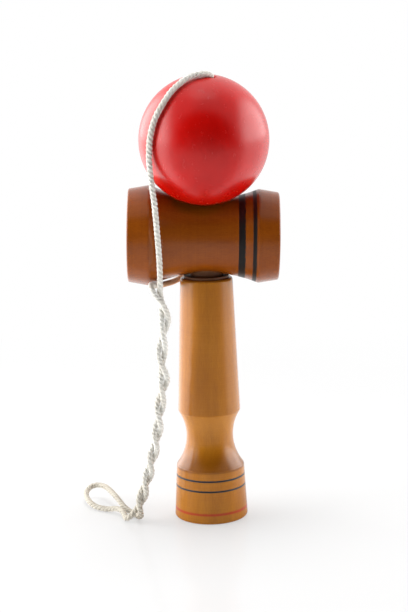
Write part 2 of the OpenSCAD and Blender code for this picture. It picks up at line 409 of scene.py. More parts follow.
@dataclass(frozen=True)
class TurnedWood:
    """Wood turned on a lathe, with its grain along the turning axis, under a satin lacquer."""

    name: str
    tints: tuple[Tint, Tint, Tint]
    ring_width: float
    ring_share: float = 0.08
    fleck_share: float = 0.22
    roughness: float = 0.2
    turn: Triple = NO_TURN
    shift: Triple = NO_SHIFT
    stripes: tuple[Stripe, ...] = ()
    cloud: Mottle = Mottle((0.09, 0.09, 0.03))
    fibre: Mottle = Mottle((3.4, 3.4, 0.16), detail=4.0, roughness=0.6)
    lathe: Mottle = Mottle((0.02, 0.02, 2.2), detail=4.0, roughness=0.7)
    fine: Mottle = Mottle((9.0, 9.0, 0.5))
    fleck: Mottle = Mottle((4.2, 4.2, 0.8), detail=1.0)
    fleck_span: Span = (0.58, 0.74)
    tone_shares: Triple = (0.35, 0.4, 0.25)
    tone_span: Span = (0.34, 0.66)
    heart: Span = (-46.0, 31.0)
    sway: Mottle = Mottle((0.11, 0.11, 0.012))
    sway_reach: float = 7.0
    late_span: Span = (0.35, 0.9)
    ring_end_span: Span = (0.93, 1.0)
    fibre_matt: float = 0.16
    lathe_matt: float = 0.06
    relief_shares: Triple = (0.5, 0.3, 0.2)
    relief_depth: float = 0.05
    relief_strength: float = 0.5

    def material(self) -> bpy.types.Material:
        """Builds the wood's material.

        Returns:
            The material.
        """
        graph, material = Graph.of_material(self.name)
        place = graph.place(self.turn, self.shift)
        across, depth, along = graph.parts(place)
        mottles = (self.cloud, self.fibre, self.lathe, self.fine)
        cloud, fibre, lathe, fine = (mottle.at(graph, place) for mottle in mottles)
        rings = self.rings(graph, place, across, depth)
        flecks = self.fleck.at(graph, place).ramp(*self.fleck_span)
        tone = weigh((cloud, fibre, lathe), self.tone_shares)
        light, middle, dark = (tint.linear for tint in self.tints)
        colour = graph.mix(tone.ramp(*self.tone_span), light, middle)
        colour = graph.mix(rings * self.ring_share, colour, dark)
        colour = graph.mix(flecks * self.fleck_share, colour, dark)
        roughness = self.roughness + (fibre - NOISE_MIDDLE) * self.fibre_matt
        roughness = roughness + (lathe - NOISE_MIDDLE) * self.lathe_matt
        for stripe in self.stripes:
            mask = stripe.mask(graph, place, along)
            colour = graph.mix(mask, colour, stripe.colour.linear)
            roughness = roughness + mask * stripe.matt
        relief = weigh((fine, fibre, lathe), self.relief_shares)
        graph.principled({
            "Base Color": colour,
            "Roughness": roughness,
            "Normal": graph.bump(relief, self.relief_depth, self.relief_strength),
        })
        return material

    def rings(self, graph: Graph, place: Wire, across: Wire, depth: Wire) -> Wire:
        """Draws growth rings round a heart that lies outside the piece.

        Args:
            graph: Graph of the material.
            place: Coordinates in millimetres.
            across: First part across the grain.
            depth: Second part across the grain.

        Returns:
            Darkness of the late wood, from 0 to 1.
        """
        sway = self.sway.at(graph, place) * self.sway_reach
        reach = ((across - self.heart[0]) ** 2.0 + (depth - self.heart[1]) ** 2.0) ** 0.5 + sway
        share = (reach / self.ring_width).fraction()
        return share.ramp(*self.late_span) * (1 - share.ramp(*self.ring_end_span))


@dataclass(frozen=True)
class BallPaint:
    """Red paint on a wooden ball, with bare wood inside its holes."""

    name: str
    red: Tint
    deep: Tint
    bare: Tint
    centre: Triple
    radius: float
    paint_reach: float = 1.0
    paint_edge: float = 0.3
    cloud: Mottle = Mottle((0.07, 0.07, 0.07), detail=3.0)
    cloud_span: Span = (0.3, 0.7)
    smear: Mottle = Mottle((0.35, 0.35, 0.2), detail=4.0, roughness=0.6)
    smear_reach: float = 0.6
    grain: Mottle = Mottle((1.1, 1.1, 0.3))
    roughness: float = 0.26
    bare_matt: float = 0.35
    smear_matt: float = 0.1
    specular: float = 0.55
    relief_shares: Triple = (0.6, 0.25, 0.15)
    relief_depth: float = 0.12
    relief_strength: float = 0.4

    def material(self) -> bpy.types.Material:
        """Builds the paint's material.

        Returns:
            The material.
        """
        graph, material = Graph.of_material(self.name)
        place = graph.place(shift=tuple(-part for part in self.centre))
        away = graph.vectors("LENGTH", place, output="Value")
        cloud, smear, grain = (mottle.at(graph, place) for mottle in (self.cloud, self.smear, self.grain))
        colour = graph.mix(cloud.ramp(*self.cloud_span), self.red.linear, self.deep.linear)
        inside = self.radius - self.paint_reach
        uneven = away + (smear - NOISE_MIDDLE) * self.smear_reach
        painted = uneven.ramp(inside - self.paint_edge, inside)
        matt = (1 - painted) * self.bare_matt
        relief = weigh((smear, grain, cloud), self.relief_shares)
        graph.principled({
            "Base Color": graph.mix(painted, self.bare.linear, colour),
            "Roughness": self.roughness + matt + (smear - NOISE_MIDDLE) * self.smear_matt,
            "Specular IOR Level": self.specular,
            "Normal": graph.bump(relief, self.relief_depth, self.relief_strength),
        })
        return material


@dataclass(frozen=True)
class ShadedStretch:
    """A stretch of a cord with painted shade, with its span in millimetres along the cord."""

    colour: Tint
    span: Span
    soft: float
    share: float
    valley: float = 0.0

    def mask(self, along: Wire) -> Wire:
        """Gives 1 on the stretch and falls softly to 0 past its ends."""
        rises, falls = (along.ramp(end - self.soft, end + self.soft) for end in self.span)
        return rises * (1 - falls)


@dataclass(frozen=True)
class CottonYarn:
    """Laid cotton cord. Its map runs round the cord from 0 to 1, and along it in millimetres."""

    name: str
    pale: Tint
    warm: Tint
    shade: Tint
    shaded_stretches: tuple[ShadedStretch, ...]
    strands: int
    yarns: int = 9
    yarn_slant: float = 1.3
    valley: float = 0.26
    valley_power: float = 4.0
    furrow: float = 0.12
    furrow_power: float = 2.0
    lint: Mottle = Mottle((4.0, 4.0, 4.0), detail=3.0)
    cloud: Mottle = Mottle((0.12, 0.12, 0.12))
    cloud_span: Span = (0.35, 0.7)
    roughness: float = 0.85
    specular: float = 0.2
    sheen: float = 0.15
    relief_shares: Span = (0.5, 0.5)
    relief_depth: float = 0.12
    relief_strength: float = 0.6

    def material(self) -> bpy.types.Material:
        """Builds the cotton's material.

        Returns:
            The material.
        """
        graph, material = Graph.of_material(self.name)
        around, along, _ = graph.parts(graph.node("ShaderNodeTexCoord", output="UV"))
        valley = (around * float(self.strands)).edges(self.valley_power)
        yarns = around * float(self.yarns * self.strands) + along * self.yarn_slant
        furrow = yarns.edges(self.furrow_power)
        place = graph.place()
        lint, cloud = self.lint.at(graph, place), self.cloud.at(graph, place)
        colour = graph.mix(cloud.ramp(*self.cloud_span), self.pale.linear, self.warm.linear)
        depth = self.valley
        # Painted shade on chosen stretches of the cord, which also deepens the painted shade in the grooves
        # between strands
        for shading in self.shaded_stretches:
            mask = shading.mask(along)
            colour = graph.mix(mask * shading.share, colour, shading.colour.linear)
            depth = depth + mask * shading.valley
        colour = graph.mix(valley * depth + furrow * self.furrow, colour, self.shade.linear)
        relief = weigh((lint, 1 - furrow), self.relief_shares)
        graph.principled({
            "Base Color": colour,
            "Roughness": self.roughness,
            "Specular IOR Level": self.specular,
            "Sheen Weight": self.sheen,
            "Normal": graph.bump(relief, self.relief_depth, self.relief_strength),
        })
        return material


def smooth_at(points: list[Vector], index: int, share: float) -> Vector:
    """Gives a point of the smooth curve through all points.

    Args:
        points: Points that the curve goes through.
        index: Number of the span's first point.
        share: Place in the span, from 0 to 1.

    Returns:
        The point on the curve.
    """
    before, start = points[max(index - 1, 0)], points[index]
    end, after = points[index + 1], points[min(index + 2, len(points) - 1)]
    return 0.5 * (
        2 * start
        + (end - before) * share
        + (2 * before - 5 * start + 4 * end - after) * share**2
        + (3 * start - before - 3 * end + after) * share**3
    )


def smooth(points: list[Vector], steps: int) -> list[Vector]:
    """Draws the smooth curve through all points, with each span cut into steps."""
    line = [smooth_at(points, i, k / steps) for i in range(len(points) - 1) for k in range(steps)]
    return line + [points[-1]]


def evenly(line: list[Vector], step: float) -> list[Vector]:
    """Puts points on a line at equal distances.

    Args:
        line: Points of the line.
        step: Wanted distance between points.

    Returns:
        The new points, with both ends kept.
    """
    reach = [0.0]
    for first, second in zip(line, line[1:]):
        reach.append(reach[-1] + (second - first).length)
    count = max(2, round(reach[-1] / step))
    made, span = [], 0
    for number in range(count):
        goal = reach[-1] * number / count
        while reach[span + 1] < goal:
            span += 1
        share = (goal - reach[span]) / max(reach[span + 1] - reach[span], TINY)
        made.append(line[span].lerp(line[span + 1], share))
    return made + [line[-1]]


def length_of(line: list[Vector]) -> float:
    """Adds up the spans of a line."""
    return sum((second - first).length for first, second in zip(line, line[1:]))


def mesh_object(name: str, made: bmesh.types.BMesh) -> bpy.types.Object:
    """Puts a finished bmesh into the scene as an object at the origin.

    Args:
        name: Name of the object.
        made: The bmesh, which is let go.

    Returns:
        The object.
    """
    mesh = bpy.data.meshes.new(name)
    made.to_mesh(mesh)
    made.free()
    thing = bpy.data.objects.new(name, mesh)
    bpy.context.scene.collection.objects.link(thing)
    return thing


def add_run(curve: bpy.types.Curve, line: list[Vector]) -> bpy.types.Spline:
    """Adds a run of straight spans to a curve.

    Args:
        curve: The curve, in metres.
        line: Points of the run, in millimetres.

    Returns:
        The run.
    """
    run = curve.splines.new("POLY")
    run.points.add(len(line) - 1)
    for point, place in zip(run.points, line):
        point.co = (place * MM).to_4d()
    return run


def curve_mesh(curve: bpy.types.Curve) -> bpy.types.Mesh:
    """Makes a mesh of a curve.

    Args:
        curve: The curve with its thickness.

    Returns:
        The mesh.
    """
    thing = bpy.data.objects.new(curve.name, curve)
    bpy.context.scene.collection.objects.link(thing)
    seen = thing.evaluated_get(bpy.context.evaluated_depsgraph_get())
    mesh = bpy.data.meshes.new_from_object(seen)
    bpy.data.objects.remove(thing)
    return mesh


@dataclass
class LaidCord:
    """A cord laid from a few strands, built along any line. A negative lay turns to the left."""

    diameter: float = 2.8
    strands: int = 3
    strand_share: float = 0.66
    lay: float = -6.4
    facets: int = 7
    fibre_r: float = 0.022
    fibres_per_mm: float = 1.6
    fibre_floor: float = 0.15
    fibre_spans: int = 3
    fibre_root: float = 0.42
    fibre_lean: Span = (0.3, 1.6)
    fibre_curl: float = 0.9
    fibre_long: Triple = (0.35, 2.2, 0.6)
    fibre_arch: float = 2.2
    fibre_rise: float = 0.55
    fibre_drift: float = 0.7
    fibre_taper: float = 0.6
    seed: int = 7

    def outline(self) -> list[Vector]:
        """Draws the cord's cross section: strands that press into each other.

        Returns:
            Points round the section, in millimetres.
        """
        strand_r = self.strand_share * self.diameter / 2
        offset = self.diameter / 2 - strand_r
        count = self.strands * self.facets
        turn = math.tau / self.strands
        points = []
        for number in range(count):
            angle = math.tau * number / count
            near = (angle % turn) - turn / 2
            radius = offset * math.cos(near) + math.sqrt(strand_r**2 - (offset * math.sin(near)) ** 2)
            points.append(Vector((radius * math.cos(angle), radius * math.sin(angle), 0.0)))
        return points

    def tube(self, line: list[Vector], name: str) -> bpy.types.Mesh:
        """Sweeps the section along a line, turning it with the lay.

        Args:
            line: Points of the cord's middle line at equal distances, in millimetres.
            name: Name of the mesh.

        Returns:
            The mesh, in metres, with a map that runs along the cord and round it.
        """
        section = bpy.data.curves.new(name + "_section", "CURVE")
        add_run(section, self.outline()).use_cyclic_u = True
        section_object = bpy.data.objects.new(name + "_section", section)
        sweep = bpy.data.curves.new(name + "_sweep", "CURVE")
        sweep.dimensions = "3D"
        sweep.bevel_mode = "OBJECT"
        sweep.bevel_object = section_object
        step = length_of(line) / (len(line) - 1)
        for number, point in enumerate(add_run(sweep, line).points):
            point.tilt = math.fmod(math.tau * number * step / self.lay, math.tau)
        mesh = curve_mesh(sweep)
        bpy.data.objects.remove(section_object)
        return mesh

    def piece(
        self,
        mesh: bpy.types.Mesh,
        line: list[Vector],
        first: int,
        last: int,
        name: str,
    ) -> bpy.types.Object:
        """Cuts one stretch out of a swept cord, closes its ends and adds loose fibres.

        Args:
            mesh: Mesh of the whole cord.
            line: Points of the whole cord's middle line, in millimetres.
            first: Number of the stretch's first point.
            last: Number of its last point.
            name: Name of the new object.

        Returns:
            The stretch as an object, with a map that runs round the cord and along it.
        """
        made = bmesh.new()
        made.from_mesh(mesh)
        chart = made.loops.layers.uv.verify()
        length = length_of(line)
        for face in made.faces:
            for loop in face.loops:
                along, around = loop[chart].uv
                loop[chart].uv = (around, along * length)
        ring = self.strands * self.facets
        outside = [v for v in made.verts if not first <= v.index // ring <= last]
        bmesh.ops.delete(made, geom=outside, context="VERTS")
        ends = bmesh.ops.holes_fill(made, edges=[e for e in made.edges if e.is_boundary], sides=0)
        bmesh.ops.recalc_face_normals(made, faces=made.faces)
        for face in made.faces:
            face.smooth = face not in ends["faces"]
        self.add_fibres(made, line[first:last + 1], name)
        return mesh_object(name, made)

    def fibre(self, line: list[Vector], chance: random.Random) -> list[Vector]:
        """Draws one loose fibre.

        Args:
            line: Points of the cord's middle line, in millimetres.
            chance: Source of the fibre's place, lean, curl and length.

        Returns:
            Points from the fibre's root to its tip, in millimetres.
        """
        here = chance.randrange(1, len(line) - 1)
        ahead = (line[here + 1] - line[here - 1]).normalized()
        side = ahead.orthogonal().normalized()
        side.rotate(Matrix.Rotation(chance.uniform(0, math.tau), 3, ahead))
        lean = ahead * chance.choice((-1, 1)) * chance.uniform(*self.fibre_lean)
        curl = ahead.cross(side) * chance.uniform(-self.fibre_curl, self.fibre_curl)
        long = chance.triangular(*self.fibre_long)
        root = line[here] + side * self.diameter * self.fibre_root
        points = []
        for number in range(self.fibre_spans + 1):
            share = number / self.fibre_spans
            rise = side * math.sin(share * self.fibre_arch) * self.fibre_rise
            tip = root + (rise + lean * share * self.fibre_drift + curl * share**2) * long
            tip.z = max(tip.z, self.fibre_floor)
            points.append(tip)
        return points

    def add_fibres(self, made: bmesh.types.BMesh, line: list[Vector], name: str) -> None:
        """Adds the loose fibres that stand off the cord.

        Args:
            made: Mesh of the stretch, in metres.
            line: Points of its middle line, in millimetres.
            name: Name of the stretch.
        """
        chance = random.Random(self.seed + len(line))
        fluff = bpy.data.curves.new(name + "_fluff", "CURVE")
        fluff.dimensions = "3D"
        fluff.bevel_depth = self.fibre_r * MM
        fluff.bevel_resolution = 0
        for _ in range(round(self.fibres_per_mm * length_of(line))):
            run = add_run(fluff, self.fibre(line, chance))
            for number, point in enumerate(run.points):
                point.radius = 1.0 - self.fibre_taper * number / self.fibre_spans
        cord_faces = set(made.faces)
        made.from_mesh(curve_mesh(fluff))
        chart = made.loops.layers.uv.verify()
        # Fibres take the tone of the top of a strand
        strand_top = (0.5 / self.strands, 0.0)
        for face in set(made.faces) - cord_faces:
            for loop in face.loops:
                loop[chart].uv = strand_top


@dataclass
class EndKnot:
    """A knot at one end of the string, with the straight string that leaves it."""

    name: str
    node: str
    body: Body
    centre: Vector
    direction: Vector
    stem: float
    knot_wide: float = 0.52
    knot_tall: float = 1.0
    tail: float = 0.45
    turns: int = 16
    step: float = 0.4
    curve_steps: int = 6

    def line(self) -> list[Vector]:
        """Draws the knot's middle line.

        Returns:
            Points from the string's end through the knot and along its stem, in millimetres.
        """
        points = []
        for number in range(self.turns + 1):
            angle = self.tail + (math.tau - 2 * self.tail) * number / self.turns
            x = self.knot_wide * (math.sin(angle) + 2 * math.sin(2 * angle))
            y = self.knot_wide * (math.cos(angle) - 2 * math.cos(2 * angle))
            points.append(Vector((x, y, -self.knot_tall * math.sin(3 * angle))))
        points += [Vector((0, 0, self.stem / 2)), Vector((0, 0, self.stem))]
        turn = Vector((0, 0, 1)).rotation_difference(self.direction).to_matrix()
        return evenly([self.centre + turn @ p for p in smooth(points, self.curve_steps)], self.step)

    def build(self, cord: LaidCord, material: bpy.types.Material) -> None:
        """Builds the knot and ties it to its body.

        Args:
            cord: Cord that the knot is tied in.
            material: Material of the cord.
        """
        line = self.line()
        mesh = cord.tube(line, self.name)
        piece = cord.piece(mesh, line, 0, len(line) - 1, self.name)
        bpy.data.meshes.remove(mesh)
        piece.data.materials.append(material)
        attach(piece, self.body.value)
        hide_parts(self.node)
        LOG.info("%s: knot and %.0f mm of string", self.name, self.stem)


@dataclass(frozen=True)
class Stretch:
    """A stretch of the string, with the nodes it stands for and the bodies it follows."""

    name: str
    nodes: tuple[str, ...]
    bodies: tuple[Body, ...]


@dataclass
class ToyString:
    """The string from the ball to the handle, along the same points as its solids."""

    cord: LaidCord = field(default_factory=LaidCord)
    stretches: tuple[Stretch, ...] = (
        Stretch("string_over_ball", ("ball_string",), (Body.BEAD, Body.STRING_LEAD)),
        Stretch("string_beside_ball", ("ball_string",), (Body.STRING_LEAD, Body.HANDLE)),
        Stretch("string_twisted", ("twisted_string", "handle_string"), (Body.HANDLE,)),
    )
    stem_top: float = 28.8
    ball_side_points: tuple[Triple, ...] = (
        (3.5, -15.3, 211.8), (2.2, -16.3, 212.5), (0.4, -17.3, 212.5), (-1.8, -17.9, 212.3),
        (-4.6, -18.9, 211.8), (-8.4, -21.4, 210), (-13.7, -25, 205.6), (-18.1, -27.9, 199.6),
        (-21.2, -28.9, 194.1), (-23.3, -29.4, 187.6), (-24.3, -28.9, 180.6), (-24.3, -28.3, 172.6),
        (-23.7, -27.5, 164.5), (-22.7, -26.7, 155.5), (-22.1, -25.9, 146.4), (-21.6, -25.1, 137.3),
        (-21.2, -24, 128.1), (-21.2, -22.6, 119), (-21.4, -21.2, 113.5),
    )
    twist_points: tuple[Triple, ...] = (
        (-21.1, -22, 111), (-19.5, -21, 101), (-20.9, -20, 91), (-21.6, -19, 81), (-20.8, -18, 71),
        (-22.7, -16.5, 61), (-24, -15.5, 51), (-25.5, -14.5, 41), (-28, -13.5, 31),
        (-30.5, -12.5, 21), (-33.5, -11.5, 11), (-36, -10.5, 3),
    )
    floor_points: tuple[Triple, ...] = (
        (-38.6, -10.6, 3.2), (-41, -8.8, 1.6), (-42, -4.8, 2), (-43.4, -1.2, 2.8), (-46.4, 2.6, 2.6),
        (-50.8, 5.6, 1.5), (-55.5, 8.6, 1.4), (-59.2, 13, 2.2), (-61.6, 18.4, 3.4), (-62.2, 23.8, 4.6),
        (-60.2, 28.2, 5.8), (-56.4, 28.6, 6.5), (-52.3, 23.9, 6.8), (-49.1, 17.2, 6.3), (-46, 11, 5),
        (-43, 5.4, 3), (-39.6, 0.6, 1.7), (-37, -3.4, 1.5), (-35, -6.8, 1.6), (-33.8, -10.2, 3.2),
    )
    handle_side_points: tuple[Triple, ...] = (
        (-23.2, -23.4, 112.4), (-25, -22.2, 115.2), (-25.6, -18.6, 116.7), (-24.6, -14.2, 115.9),
        (-22.4, -9, 114.8), (-19.2, -2, 114.2), (-15.6, 7, 113.6), (-12, 14, 114.2), (-8, 19.6, 116),
        (-4, 23.2, 121), (-1.6, 24.8, 127), (-0.5, 24.6, 132.2), (-0.1, 22.6, 135.2), (0, 20, AXIS_Z),
        (0, 17.4, AXIS_Z), (0, 6.8, AXIS_Z),
    )
    twist_r: float = 1.5
    twist_start_z: float = 101.5
    twist_rate: float = 11.3
    twist_gain: float = 0.0347
    twist_steps: int = 92
    twist_first: float = 0.2
    twist_last: float = 10.5
    ball_top_end: int = 8
    step: float = 0.4
    curve_steps: int = 8
    hold: float = 2.0
    floor_gap: float = 0.05
    shaded_loop: Span = (222.0, 360.0)
    stained: Span = (478.0, 530.0)
    ball_knot_depth: float = 24.2
    ball_knot_stem: float = 24.05
    handle_knot: Triple = (0.0, 3.0, AXIS_Z)
    handle_way: Triple = (0.0, 1.0, 0.0)
    handle_knot_stem: float = 3.8

    def finish(self) -> CottonYarn:
        """Gives the cotton, with painted shade on the loop on the floor and painted shade with a warm
        bounce from the wood on the stretch behind the cross piece.

        Returns:
            The finish of the string and its knots.
        """
        return CottonYarn(
            name="cotton_yarn",
            pale=Tint.COTTON_PALE,
            warm=Tint.COTTON_WARM,
            shade=Tint.COTTON_SHADE,
            shaded_stretches=(
                # Painted shade on the loop that lies on the floor
                ShadedStretch(Tint.COTTON_SOILED, self.shaded_loop, soft=18.0, share=0.75, valley=0.45),
                # Painted shade with warm light bounced from the wood, on the stretch behind the cross piece
                ShadedStretch(Tint.COTTON_STAINED, self.stained, soft=6.0, share=0.85),
            ),
            strands=self.cord.strands,
        )

    def strand(self, side: Strand) -> list[Vector]:
        """Draws one strand of the twisted stretch from the top down.

        Args:
            side: Which of the two strands.

        Returns:
            Points of the strand's middle line.
        """
        middle = [Vector(point) for point in self.twist_points]
        line = []
        for number in range(self.twist_steps + 1):
            place = self.twist_first + (self.twist_last - self.twist_first) * number / self.twist_steps
            point = smooth_at(middle, int(place), place - int(place))
            down = self.twist_start_z - point.z
            angle = math.radians(self.twist_rate * down + self.twist_gain * down**2)
            line.append(point + side.value * self.twist_r * Vector((math.cos(angle), math.sin(angle), 0.0)))
        return line

    def exit(self) -> Vector:
        """Gives the point where the string leaves the ball."""
        return Vector(BALL_CENTRE) + self.stem_top * Vector(BALL_POLE)

    def lines(self) -> list[list[Vector]]:
        """Draws the string's middle line as the stretches that move apart.

        Returns:
            The stretch over the ball, the stretch down its side and the rest, each at equal steps.
        """
        down, up = self.strand(Strand.FROM_BALL), self.strand(Strand.TO_HANDLE)[::-1]
        over = [self.exit(), self.exit() + Vector(BALL_POLE)]
        lead = smooth(over + [Vector(p) for p in self.ball_side_points] + [down[0]], self.curve_steps)
        loop = smooth([down[-1]] + [Vector(p) for p in self.floor_points] + [up[0]], self.curve_steps)
        away = smooth([up[-1]] + [Vector(p) for p in self.handle_side_points], self.curve_steps)
        cut = (len(over) + self.ball_top_end) * self.curve_steps
        rest = down + loop[1:] + up[1:] + away[1:]
        for point in rest:
            point.z = max(point.z, self.cord.diameter / 2 + self.floor_gap)
        return [evenly(part, self.step) for part in (lead[:cut + 1], lead[cut:], rest)]

    def knots(self) -> tuple[EndKnot, EndKnot]:
        """Gives the knots at the string's two ends.

        Returns:
            The knot in the ball and the knot in the handle.
        """
        pole = Vector(BALL_POLE)
        inside = self.exit() - pole * self.ball_knot_depth
        centre, way = Vector(self.handle_knot), Vector(self.handle_way)
        return (
            EndKnot("knot_in_ball", "ball_knot", Body.BEAD, inside, pole, self.ball_knot_stem),
            EndKnot("knot_in_handle", "handle_knot", Body.HANDLE, centre, way, self.handle_knot_stem),
        )

    def build(self) -> None:
        """Builds the string's three pieces and its knots; ties the knots and the twisted stretch to their
        bodies, and leaves the other two stretches where they lie.
        """
        lines = self.lines()
        whole = lines[0] + lines[1][1:] + lines[2][1:]
        mesh = self.cord.tube(whole, "string")
        material = self.finish().material()
        first = 0
        for stretch, line in zip(self.stretches, lines):
            last = first + len(line) - 1
            piece = self.cord.piece(mesh, whole, first, last, stretch.name)
            piece.data.materials.append(material)
            self.tie(piece, stretch, line)
            LOG.info("%s: %.0f mm of string", stretch.name, length_of(line))
            first = last
        bpy.data.meshes.remove(mesh)
        for knot in self.knots():
            knot.build(self.cord, material)

    def tie(self, piece: bpy.types.Object, stretch: Stretch, line: list[Vector]) -> None:
        """Args:
            piece: Object of the stretch.
            stretch: Its nodes and bodies.
            line: Points of its middle line, in millimetres.
        """
        bodies = [body.value for body in stretch.bodies]
        if len(bodies) > 1:
            held = round(self.hold / self.step)
            line[held] * MM
            line[-held] * MM
            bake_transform(piece)
        else:
            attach(piece, *bodies)
        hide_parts(*stretch.nodes)
        line[0] * MM
        length_of(line) * MM
        [point * MM for point in line]


@dataclass
class WoodenPart:
    """A piece whose solid has the right shape and only needs its finish."""

    node: str

    def finish(self) -> Union[TurnedWood, BallPaint]:
        """Gives the finish, which each piece says for itself."""
        raise NotImplementedError

    def dress(self) -> None:
        """Gives the solid its finish."""
        finish = self.finish()
        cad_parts[self.node].material_slots[0].material = finish.material()
        LOG.info("%s: dressed as %s", self.node, finish.name)


@dataclass
class Handle(WoodenPart):
    """The turned handle, with the heights of its painted lines, its worn place, its darker shaft, and the
    painted shade on its flare and at the joint under the cross piece.
    """

    node: str = "handle"
    red_line: Span = (4.2, 5.4)
    ink_lines: tuple[Span, ...] = ((15.55, 16.4), (20.5, 21.35))
    flare: Span = (24.6, 33.0)
    waist: Span = (43.0, 52.2)
    shaft: Span = (52.4, 116.7)
    joint: Span = (116.75, 150.0)

    def finish(self) -> TurnedWood:
        """Gives the lacquered wood with its lines and tones.

        Returns:
            The handle's finish.
        """
        faint = {"soft": 0.3, "fade": 0.3, "ragged_start": 0.3, "ragged_end": 0.3, "cover": 0.8}
        crisp = {"ragged_start": 0.15, "ragged_end": 0.2, "matt": 0.2}
        return TurnedWood(
            name=Slot.HANDLE_WOOD.value,
            tints=(Tint.HANDLE_LIGHT, Tint.HANDLE_MIDDLE, Tint.HANDLE_DARK),
            ring_width=3.4,
            stripes=(
                Stripe(self.red_line, Tint.LINE_RED, **faint),
                *(Stripe(line, Tint.INK, **crisp) for line in self.ink_lines),
                # Painted shade and a painted dark reflection: the flare is darkened where the cross piece
                # and ball shade it
                Stripe(self.flare, Tint.POLISHED, soft=0.25, fade=5.0, cover=0.54),
                Stripe(self.waist, Tint.WORN, soft=5.0, fade=0.3, cover=0.32),
                Stripe(self.shaft, Tint.HANDLE_DARK, soft=0.3, fade=0.3, cover=0.18),
                # Painted shade: a dark band on the neck and shoulder in the shadow under the cross piece
                Stripe(self.joint, Tint.JOINT_GRIME, soft=0.1, cover=0.9, matt=0.4),
            ),
        )


@dataclass
class CrossPiece(WoodenPart):
    """The turned cross piece, with its lean and the places of its lines along its axis."""

    node: str = "crosspiece"
    lean: float = 1.6
    wide_line: Span = (15.3, 18.4)
    thin_line: Span = (21.8, 23.6)

    def finish(self) -> TurnedWood:
        """Gives the stained wood with its black lines.

        Returns:
            The cross piece's finish.
        """
        lean = math.radians(self.lean)
        drips = {"ragged_start": 0.15, "ragged_end": 1.3, "ragged_size": 1.1, "matt": 0.25}
        crisp = {"ragged_start": 0.2, "ragged_end": 0.3, "matt": 0.25}
        return TurnedWood(
            name=Slot.STAINED_WOOD.value,
            tints=(Tint.CROSS_LIGHT, Tint.CROSS_MIDDLE, Tint.CROSS_DARK),
            ring_width=4.0,
            turn=(0.0, -QUARTER_TURN - self.lean, 0.0),
            shift=(AXIS_Z * math.cos(lean), 0.0, AXIS_Z * math.sin(lean)),
            stripes=(
                Stripe(self.wide_line, Tint.LINE_BLACK, **drips),
                Stripe(self.thin_line, Tint.LINE_BLACK, **crisp),
            ),
        )


@dataclass
class Ball(WoodenPart):
    """The painted ball."""

    node: str = "ball"
    radius: float = 30.0

    def finish(self) -> BallPaint:
        """Gives the red paint.

        Returns:
            The ball's finish.
        """
        return BallPaint(
            name=Slot.RED_PAINT.value,
            red=Tint.BALL_RED,
            deep=Tint.BALL_DEEP,
            bare=Tint.BALL_BARE,
            centre=BALL_CENTRE,
            radius=self.radius,
        )


@dataclass
class Bead(WoodenPart):
    """The bead inside the ball."""

    node: str = "string_bead"

    def finish(self) -> TurnedWood:
        """Gives the bare wood.

        Returns:
            The bead's finish.
        """
        return TurnedWood(
            name=Slot.BEAD_WOOD.value,
            tints=(Tint.BEAD_LIGHT, Tint.BEAD_MIDDLE, Tint.BEAD_DARK),
            ring_width=1.4,
            ring_share=0.3,
            fleck_share=0.3,
            roughness=0.55,
        )


@dataclass
class SoftBox:
    """A soft lamp that no gloss shows, with its places and sizes in metres and its power in watts."""

    name: str
    place: Triple
    wide: float
    tall: float
    power: float
    aim: Triple = (0.0, 0.0, 0.14)

    def build(self) -> None:
        """Puts the lamp into the scene."""
        lamp = bpy.data.lights.new(self.name, "AREA")
        lamp.shape = "RECTANGLE"
        lamp.size, lamp.size_y = self.wide, self.tall
        lamp.energy = self.power
        thing = bpy.data.objects.new(self.name, lamp)
        thing.location = self.place
        way = Vector(self.aim) - Vector(self.place)
        thing.rotation_euler = way.to_track_quat("-Z", "Y").to_euler()
        thing.visible_camera = False
        thing.visible_glossy = False
        bpy.context.scene.collection.objects.link(thing)


@dataclass(frozen=True)
class SoftGlow:
    """A bright round place in the surround that only gloss shows, with angles in degrees."""

    azimuth: float
    elevation: float
    inner: float
    outer: float
    level: float
    floor_level: float

    def share(self, graph: Graph, direction: Wire) -> Wire:
        """Gives the glow's share in a direction.

        Args:
            graph: Graph of the surround or the floor.
            direction: Direction from the toy into the surround.

        Returns:
            The share, which falls softly from 1 at the inner angle to 0 at the outer one.
        """
        azimuth, elevation = math.radians(self.azimuth), math.radians(self.elevation)
        flat = math.cos(elevation)
        centre = (flat * math.sin(azimuth), -flat * math.cos(azimuth), math.sin(elevation))
        near = graph.vectors("DOT_PRODUCT", direction, centre, output="Value")
        return near.ramp(math.cos(math.radians(self.outer)), math.cos(math.radians(self.inner)))


